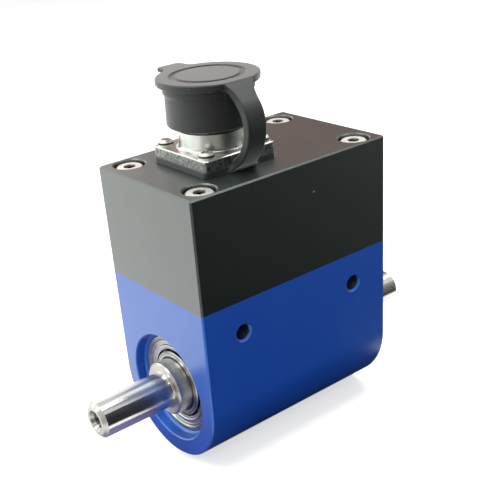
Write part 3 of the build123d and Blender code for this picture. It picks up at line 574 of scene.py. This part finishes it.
down_fall = np.array([-math.cos(fall), -math.sin(fall)])
on_fall = np.array([band_half * math.sin(fall) - rim_flat, cap_top - band_half * math.cos(fall)])
bend_at = on_fall + down_fall * (on_fall[1] - cap_top + band_half) / math.sin(fall)
crest_radius = 1.6
crest_reach = crest_radius * math.tan(fall / 2)
crest_start = bend_at + (crest_reach, 0)
strap_curve = [crest_start + (1.2, 0), crest_start]
arc, direction = tangent_arc(crest_start, bend_at + crest_reach * down_fall, (-1.0, 0.0), 10)
strap_curve += arc
strap_curve.append(on_fall + down_fall * 3.8 / math.cos(fall))
for target, count in (((-17.0, 69.0), 24), ((-gasket_half, gasket_low + 1.4), 40)):
    arc, direction = tangent_arc(strap_curve[-1], target, direction, count)
    strap_curve += arc
strap_curve.append(strap_curve[-1] + 1.5 * np.array(direction))
strap_curve = np.array(strap_curve)
run_lengths = np.hypot(*np.diff(strap_curve, axis=0).T)
run_starts = np.concatenate([[0], np.cumsum(run_lengths)])
print("strap curve:", len(strap_curve), "points,", round(run_starts[-1], 1), "mm long")

# %% [markdown]
# The distance to the band is measured run by run: each run of the curve offers its nearest point, and
# the smallest distance wins. The half width grows where the flares open, along quarter circles that
# start at a root height under the rim and at a foot height above the gasket.

# %% The band round the curve
strap_half, strap_corner = 2.8, 0.42
root_z, root_half = 75.0, 5.0
foot_z, foot_half = 61.4, 5.0


def flare(beyond, room, extra):
    """How far a hollow arc has opened at a distance beyond its start."""
    radius = (room**2 + extra**2) / (2 * extra)
    return radius - np.sqrt(radius**2 - np.clip(beyond, 0, room) ** 2)


def strap_distance(across, out, height):
    """Distance to the strap, and how far along its curve the nearest point is."""
    best = np.full(np.broadcast(out, height).shape, 1e9)
    along = np.zeros_like(best)
    for start, end, begin, length in zip(strap_curve[:-1], strap_curve[1:], run_starts, run_lengths):
        step = (end - start) / length
        reach = np.clip((out - start[0]) * step[0] + (height - start[1]) * step[1], 0, length)
        away = np.hypot(out - start[0] - reach * step[0], height - start[1] - reach * step[1])
        along = np.where(away < best, begin + reach, along)
        best = np.minimum(best, away)
    half = strap_half + flare(height - root_z, cap_top - root_z, root_half - strap_half)
    half = half + flare(foot_z - height, foot_z - gasket_low, foot_half - strap_half)
    return rounded(np.abs(across) - half, best - band_half, strap_corner), along


print("strap half width at the rim:", root_half, "mm")

# %% [markdown]
# The whole moulding is now one function of a point. The cap is a rim disc with a thumb tab at the
# back, a shallow ring groove on top, and a skirt below with a low collar where it meets the disc.

# %% The whole moulding
under_lid = cap_top - 0.5
tab_half, tab_reach, tab_low, tab_corner = 3.8, cap_box[1].y / MM, cap_top - 1.0, 1.8
skirt_inner, skirt_outer, skirt_taper, taper_from = 8.3, 10.9, 0.03, 9.5
collar_inner, collar_outer, collar_low = 9.0, 11.3, rim_low - 2.0
groove_inner, groove_outer, groove_low = 7.9, 9.5, cap_top - 0.4
gasket_corner, bore_radius, flange_inset, flange_room = 1.2, 7.7, 0.08, 3.0


def moulding(across, out, height):
    """Distance to the rubber moulding, and the strap's own distance and place."""
    radius = np.hypot(across, out)
    disc = np.maximum(radius - rim_radius, -out - rim_flat)
    tab = rounded(np.abs(across) - tab_half, np.abs(out - tab_reach / 2) - tab_reach / 2, tab_corner)
    tab_plan = soft_min(disc, tab + 0 * height, 1.6)
    lid = np.minimum(slab(disc, height, rim_low, cap_top, 0.38),
                     slab(tab_plan, height, tab_low, cap_top, 0.34))
    taper = skirt_taper * np.clip(rim_low - height, 0, 10) * (radius > taper_from)
    skirt = ring(radius - taper, height, skirt_inner, skirt_outer, skirt_low, under_lid, 0.5)
    collar = ring(radius, height, collar_inner, collar_outer, collar_low, under_lid, 0.3)
    cap = soft_min(lid, soft_min(skirt, collar, 0.9), 0.4)
    strap, along = strap_distance(across, out, height)
    groove = ring(radius, height, groove_inner, groove_outer, groove_low, cap_top + 2, 0.05)
    cap = np.maximum(np.maximum(soft_min(cap, strap, 0.7), height - cap_top), -groove)
    square = rounded(np.abs(across) - gasket_half, np.abs(out) - gasket_half, gasket_corner)
    plate = slab(np.maximum(square, bore_radius - radius), height, gasket_low, gasket_high, 0.2)
    base = np.maximum(soft_min(strap, plate, 1.2), gasket_low - height)
    flange = np.maximum(np.maximum(np.abs(across), np.abs(out)) - gasket_half + flange_inset,
                        np.abs(height - gasket_high - flange_room / 2) - flange_room / 2)
    base = np.maximum(base, -flange)
    return np.minimum(cap, base), strap, along


in_the_lid = moulding(np.array(0.0), np.array(0.0), np.array(cap_top - 0.7))[0]
print("distance at the middle of the lid:", round(float(in_the_lid), 2))

# %% [markdown]
# A mesh is drawn where the distance is zero. The surface-nets method lays a grid over the space, puts
# one point in each grid cell that the surface crosses, at the mean of the crossings on the cell's
# edges, and joins the points of the four cells round each crossed edge with a face. Each point is
# then pushed onto the true surface along the steepest slope of the distance.

# %% Surface nets
def surface_nets(field, low, high, step):
    """Points and four-sided faces of the surface where the field is zero."""
    axes = [np.arange(low[k], high[k] + step, step) for k in range(3)]
    grid = field(axes[0][:, None, None], axes[1][None, :, None], axes[2][None, None, :])
    cells = np.array(grid.shape) - 1
    total, count, quads = np.zeros((cells.prod(), 3)), np.zeros(cells.prod()), []
    for axis in range(3):
        first = np.delete(grid, -1, axis)
        second = np.delete(grid, 0, axis)
        edge = np.argwhere((first < 0) != (second < 0))
        a, b = first[tuple(edge.T)], second[tuple(edge.T)]
        point = edge.astype(float)
        point[:, axis] += a / (a - b)
        side, other = (axis + 1) % 3, (axis + 2) % 3
        corners = []
        for back, down in ((0, 0), (1, 0), (1, 1), (0, 1)):
            cell = edge.copy()
            cell[:, side] -= back
            cell[:, other] -= down
            number = np.ravel_multi_index(cell.T, cells)
            np.add.at(total, number, point)
            np.add.at(count, number, 1)
            corners.append(number)
        quad = np.array(corners).T
        quads.append(np.where((a > 0)[:, None], quad[:, ::-1], quad))
    used = np.flatnonzero(count)
    order = np.zeros(len(count), int)
    order[used] = np.arange(len(used))
    points = np.array(low) + total[used] / count[used, None] * step
    return points, order[np.concatenate(quads)]


def push_onto(field, points, rounds=3, nudge=0.01, farthest=0.15):
    """Moves each point to the surface along the slope of the field."""
    for _ in range(rounds):
        here = field(*points.T)
        slope = np.stack([field(*(points + nudge * way).T) - here for way in np.eye(3)], 1) / nudge
        move = here[:, None] * slope / np.maximum((slope**2).sum(1), 0.25)[:, None]
        points = points - np.clip(move, -farthest, farthest)
    return points


def rubber(across, out, height):
    """Distance to the rubber moulding alone."""
    return moulding(across, out, height)[0]


grid_step = 0.25
low = (-rim_radius - 0.9, -19.0, gasket_low - 0.9)
high = (rim_radius + 0.9, tab_reach + 0.8, cap_top + 0.8)
points, faces = surface_nets(rubber, low, high, grid_step)
points = push_onto(rubber, points)
print("rubber moulding:", len(points), "points,", int(np.isnan(points).sum()), "of them lost")

# %% [markdown]
# The cap comes off while the gasket stays, so the skin is cut into two pieces across the strap's
# crest. The cap rides its own body, and the strap and gasket are one piece that stays in place.

# %% Cap and strap as two pieces
seam_at, strap_skin, gasket_zone = 3.0, 0.12, 64
centres = points[faces].mean(1)
_, near_strap, along = moulding(*centres.T)
strap_faces = ((near_strap < strap_skin) & (along > seam_at)) | (centres[:, 2] < gasket_zone)


def part_of(chosen):
    """The points and faces of some of the skin, renumbered, in the frame's own place."""
    used = np.unique(faces[chosen])
    order = np.zeros(len(points), int)
    order[used] = np.arange(len(used))
    return points[used] + (axis_x, 0, 0), order[faces[chosen]]


mesh_piece("rubber_cap", *part_of(~strap_faces), body="cap", slot="black_rubber",
           standing_for=["dust_cap"])
rubber_strap = mesh_piece("rubber_strap", *part_of(strap_faces), slot="black_rubber",
                          standing_for=["cap_strap", "flange_gasket"])
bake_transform(rubber_strap)

# %% [markdown]
# ## Threads
#
# A screw thread is a ridge that winds along an axis. It could be an array of rings, but rings don't
# climb, and a screw in a section view would give that away. So the ridge is swept along a true
# helix: at each step the four points of its section turn by a few degrees and climb by the same share
# of the pitch. The ridge fades at both ends, as a tap or die leaves it.

# %% Helical ridges
STEPS_A_TURN, FADE_TURNS = 48, 0.3


def smooth_step(share):
    """Goes from 0 to 1 with no kink at either end."""
    share = np.clip(share, 0, 1)
    return share * share * (3 - 2 * share)


def thread(name, start, axis, root, crest, pitch, length, slot):
    """A ridge from the root radius to the crest radius, wound along an axis from start."""
    axis = np.array(axis, float)
    across = np.array([0.0, 0, 1]) if abs(axis[2]) < 0.5 else np.array([1.0, 0, 0])
    third = np.cross(axis, across)
    steps = int(STEPS_A_TURN * length / pitch)
    turn = np.arange(steps + 1) / STEPS_A_TURN
    fade = smooth_step(np.minimum(turn, turn[-1] - turn) / FADE_TURNS)
    profile = ((-0.5, 0), (-0.1, 1), (0.1, 1), (0.5, 0))
    angle = 2 * math.pi * turn
    radial = np.cos(angle)[:, None] * across + np.sin(angle)[:, None] * third
    rows = [
        np.array(start) + (pitch * (turn + shift))[:, None] * axis
        + (root + (crest - root) * height * fade)[:, None] * radial
        for shift, height in profile
    ]
    made = np.stack(rows, 1).reshape(-1, 3)
    faces = [
        (4 * row + k, 4 * row + k + 1, 4 * row + k + 5, 4 * row + k + 4)
        for row in range(steps) for k in range(3)
    ]
    return mesh_piece(name, made, faces, body="housing", slot=slot)


thread("nose_thread", (axis_x, 0, 67.7), (0, 0, 1), root=7.67, crest=8.0, pitch=1.0, length=9.0,
       slot="plated_zinc")

# %% [markdown]
# The four side holes have the same kind of ridge, turned inward. The record of the solid model says
# where the holes are. No light reaches far into them, so their threads get a darker blue, painted
# shade.

# %% Threads in the side holes
THREAD_START_Y = 19.3
side_holes = {m["name"]: m for m in frame["record"]["mounts"] if m["name"].startswith("side_holes")}
for mount_name, mount in side_holes.items():
    outward = mount["axis"][1]
    spread = mount["dims"]["spacing_x_mm"] / 2
    for sign, word in ((-1, "drive"), (1, "output")):
        mouth = (mount["pos_m"][0] / MM + sign * spread, outward * THREAD_START_Y,
                 mount["pos_m"][2] / MM)
        ridge = thread(f"{mount_name}_{word}_thread", mouth, (0, -outward, 0), root=2.09, crest=1.9,
                       pitch=0.8, length=6.9, slot="blue_anodised")
        # The threads take the darker blue, which is painted shade.
        ridge.data.materials[0] = painted_shade_blue

# %% [markdown]
# ## Bearing shields
#
# A steel shield closes each side of a ball bearing. It is pressed from thin sheet, with a rolled rim
# that snaps into the outer ring and a raised bead that stiffens it, and these give the bearing its
# fine bright and dark rings. Such a shield is a body of revolution, so its half section is listed
# once, as distances from the face and from the axis. A Screw modifier could turn it, but both sides
# are needed and one is the mirror of the other, so it is turned in small steps in code.

# %% Pressed shields
shield_section = [
    (-0.35, 12.58), (0, 12.58), (0.2, 12.45), (0.24, 12.3), (0.22, 12.12), (0.04, 12.0), (0, 11.95),
    (0, 11.35), (0.04, 11.3), (0.2, 11.15), (0.24, 10.98), (0.2, 10.8), (0.04, 10.65), (0, 10.6),
    (0, 10.02), (-0.08, 9.88), (-0.6, 9.85), (-0.6, 10.2), (-0.35, 10.2),
]


def shields(name, node, turns=144):
    """Both shields of one bearing, in place of its plain ones."""
    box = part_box(node)
    points, faces = [], []
    for face_x, outward in ((box[0].x / MM, -1), (box[1].x / MM, 1)):
        first, count = len(points), len(shield_section)
        for turn in range(turns):
            angle = 2 * math.pi * turn / turns
            points += [(face_x + outward * out, radius * math.cos(angle), radius * math.sin(angle))
                       for out, radius in shield_section]
        for turn in range(turns):
            here, there = first + turn * count, first + (turn + 1) % turns * count
            for k in range(count):
                after = (k + 1) % count
                quad = (here + k, here + after, there + after, there + k)
                faces.append(quad if outward < 0 else quad[::-1])
    return mesh_piece(name, points, faces, body="housing", slot="bearing_steel", standing_for=[node])


for side in ("drive", "output"):
    pressed = shields(f"{side}_shields_pressed", f"{side}_bearing_shields")
    pressed.data.set_sharp_from_angle(angle=math.radians(30))

# %% [markdown]
# ## Camera
#
# The photograph's viewpoint was worked out from the corners of the block: the camera stands to the
# left of the long side, looks down by 28 degrees, and is tilted by 5 degrees. Set by eye, every edge
# would be a little off. A camera points along its own minus Z, so its matrix is made of the three
# directions right, up and back.

# %% Camera at the photograph's viewpoint
azimuth, elevation, roll = (math.radians(a) for a in (-35.629, 27.725, -5.264))
camera_place = (-0.10531, -0.17753, 0.12744)
back = Vector((math.sin(azimuth) * math.cos(elevation), -math.cos(azimuth) * math.cos(elevation),
               math.sin(elevation)))
right = Vector((0, 0, 1)).cross(back).normalized()
up = back.cross(right)
right, up = (math.cos(roll) * right + math.sin(roll) * up,
             math.cos(roll) * up - math.sin(roll) * right)
lens = bpy.data.cameras.new("photo_camera")
lens.lens, lens.sensor_width = 64.472, 36.0
lens.shift_x, lens.shift_y = 0.0521, 0.1397
lens.clip_start, lens.clip_end = 0.01, 20.0
camera = bpy.data.objects.new("photo_camera", lens)
bpy.context.scene.collection.objects.link(camera)
turned = Matrix((right, up, back)).transposed().to_4x4()
camera.matrix_world = Matrix.Translation(camera_place) @ turned
bpy.context.scene.camera = camera
print("camera is", round(camera.location.length / MM), "mm from the origin")

# %% [markdown]
# ## Floor and light
#
# Product shots of metal parts are lit by large soft panels, because metal shows whatever stands
# around it. Here a big lamp hangs behind and to the left, so the top and the near end catch a broad
# sheen while the long side stays dark. The floor and the sky are white where the camera or a
# reflection sees them, and the floor keeps a soft shadow. A white floor would also throw a pale veil
# up on the block, so the paper is dark grey to any other light.

# %% Floor
OBJECT_MIDDLE = Vector((0.033, 0, 0.03))
FLOOR_GAP, FLOOR_SIDE = 0.00005, 8


def white_where_seen(tree):
    """One where a camera, a mirror or glass looks, and zero for the light on the object."""
    path = add_node(tree, "ShaderNodeLightPath")
    mirror = add_node(tree, "ShaderNodeMath", {"operation": "MAXIMUM"},
                      {0: path.outputs["Is Glossy Ray"], 1: path.outputs["Is Transmission Ray"]})
    return add_node(tree, "ShaderNodeMath", {"operation": "MAXIMUM"},
                    {0: path.outputs["Is Camera Ray"], 1: mirror.outputs[0]})


def panel(name, centre, size, facing, finish):
    """A flat card that faces a direction."""
    mesh = bpy.data.meshes.new(name)
    x, y = size[0] / 2, size[1] / 2
    mesh.from_pydata([(-x, -y, 0), (x, -y, 0), (x, y, 0), (-x, y, 0)], [], [(0, 1, 2, 3)])
    mesh.materials.append(finish)
    made = bpy.data.objects.new(name, mesh)
    made.location = centre
    made.rotation_euler = Vector(facing).to_track_quat("Z", "Y").to_euler()
    bpy.context.scene.collection.objects.link(made)
    return made


floor_finish, tree, shader = new_finish("studio_paper", Roughness=0.9)
seen = white_where_seen(tree)
paper = add_node(tree, "ShaderNodeMix",
                 {"data_type": "RGBA", 6: colour("5C5C5E"), 7: colour("E4E4E4")},
                 {0: seen.outputs[0]})
tree.links.new(paper.outputs[2], shader.inputs["Base Color"])
glow = add_node(tree, "ShaderNodeMath", {"operation": "MULTIPLY", 1: 0.55}, {0: seen.outputs[0]})
shader.inputs["Emission Color"].default_value = colour("FFFFFF")
tree.links.new(glow.outputs[0], shader.inputs["Emission Strength"])
floor = panel("floor", (OBJECT_MIDDLE.x, 0, cad_box[0].z - FLOOR_GAP), (FLOOR_SIDE, FLOOR_SIDE),
              (0, 0, 1), floor_finish)

world = bpy.data.worlds.new("studio")
bpy.context.scene.world = world
world.use_nodes = True
tree = world.node_tree
seen = white_where_seen(tree)
level = add_node(tree, "ShaderNodeMapRange", {"To Min": 0.45, "To Max": 1.0},
                 {"Value": seen.outputs[0]})
tree.links.new(level.outputs[0], tree.nodes["Background"].inputs["Strength"])
tree.nodes["Background"].inputs["Color"].default_value = colour("FFFFFF")
print("floor at", round(floor.location.z / MM, 2), "mm")

# %% [markdown]
# Metal needs a room to reflect, or it looks like plaster. A photographer stands cards round the
# object, just outside the picture. Here each card glows at its own level, graded from one end to the
# other, so that its brightness can be set exactly. Only reflections see the cards: they light
# nothing, cast no shadow and take no light away. The table in front of the long side is in shade,
# which keeps that side and the belly deep in colour, and it grows pale to the left and the right of
# the object. A small lilac card under the shaft stands for the blue that the block throws on the
# table. The room in front is dim and draws the black band along the shaft, and a warm wall stands
# behind at the right, which the top mirrors.

# %% Cards that reflections see
def graded_card(name, centre, size, facing, levels):
    """A card whose glow follows (millimetres along X, sRGB colour) pairs."""
    finish, tree, shader = new_finish(name, Roughness=1.0, Specular_IOR_Level=0.0,
                                      Base_Color=colour("000000"), Emission_Strength=1.0)
    place = add_node(tree, "ShaderNodeNewGeometry")
    parts = add_node(tree, "ShaderNodeSeparateXYZ", links={0: place.outputs["Position"]})
    tree.links.new(tones_along(tree, parts.outputs["X"], levels), shader.inputs["Emission Color"])
    card = panel(name, centre, size, facing, finish)
    card.visible_camera = card.visible_diffuse = card.visible_shadow = False


# Each row: name, centre, size and facing in metres, and tones at millimetres along X.
table, under = cad_box[0].z - 0.00002, cad_box[0].z - 0.00003
cards = [
    ("card_table_shade", (0.0395, -0.183, table), (0.071, 0.354), (0, 0, 1),
     [(4, "343438"), (24, "121214"), (50, "161818"), (75, "2C312F")]),
    ("card_table_front", (-0.008, -0.201, table), (0.024, 0.318), (0, 0, 1),
     [(-20, "3C3C40"), (4, "343438")]),
    ("card_table_right", (0.3375, -0.195, table), (0.525, 0.33), (0, 0, 1),
     [(75, "2C312F"), (140, "464D4A"), (220, "6E7673"), (600, "D0D0D0")]),
    ("card_table_left", (-0.31, -0.33, table), (0.58, 0.54), (0, 0, 1),
     [(-600, "CCCAC6"), (-20, "BAB6B0")]),
    ("card_table_lilac", (-0.014, 0.0, under), (0.036, 0.045), (0, 0, 1),
     [(-32, "B8B2D8"), (4, "6C66A4")]),
    ("card_room_front", (-0.05, -0.36, 0.18), (1.1, 0.4), (0, 1, 0),
     [(-600, "7C7C7A"), (-250, "4A4846"), (-60, "2A2A2A"), (180, "303232"), (500, "606060")]),
    ("card_wall_warm", (0.41, 0.328, 0.19), (0.36, 0.34), (-0.755, -0.656, 0),
     [(290, "B4847A"), (410, "8C5E56"), (530, "7A4E48")]),
]
for card in cards:
    graded_card(*card)
print("cards:", len(cards))

# %% [markdown]
# The lamps are squares of 20 to 50 cm, large against the object, so shadows and highlights have soft
# edges. A sun or a spot would be simpler to place, but would leave hard spots on the anodised skin.
# The lamp behind is a little warm and the one at the left a little green, and they tint the sheen on
# the black half. All of them face the middle of the object.

# %% Lamps
def soft_lamp(name, place, size, power, tint):
    """A square area lamp that faces the middle of the object."""
    data = bpy.data.lights.new(name, "AREA")
    data.shape, data.size, data.energy = "SQUARE", size, power
    data.color = colour(tint)[:3]
    lamp = bpy.data.objects.new(name, data)
    lamp.location = place
    lamp.rotation_euler = (Vector(place) - OBJECT_MIDDLE).to_track_quat("Z", "Y").to_euler()
    bpy.context.scene.collection.objects.link(lamp)


# Each row: name, place in metres, side in metres, power in watts and tint.
lamps = [
    ("lamp_left", (-0.36, 0.42, 0.08), 0.5, 1.5, "F0FFF6"),
    ("lamp_behind", (0.02, 0.55, 0.24), 0.4, 0.9, "FFE0D4"),
    ("lamp_above_right", (0.2, -0.03, 0.45), 0.2, 1.4, "FFFFFF"),
    ("lamp_above_left", (-0.2, 0.1, 0.42), 0.2, 1.2, "FFFFFF"),
    ("lamp_front", (-0.3, -0.5, 0.4), 0.5, 1.4, "FFFFFF"),
]
for lamp in lamps:
    soft_lamp(*lamp)
print("lamps:", len(lamps), "with", round(sum(lamp[3] for lamp in lamps), 1), "watts together")

# %% [markdown]
# ## Last settings
#
# The Standard view shows colours about as they are written, where the default view would grey them.

# %% Last settings
bpy.context.scene.view_settings.view_transform = "Standard"
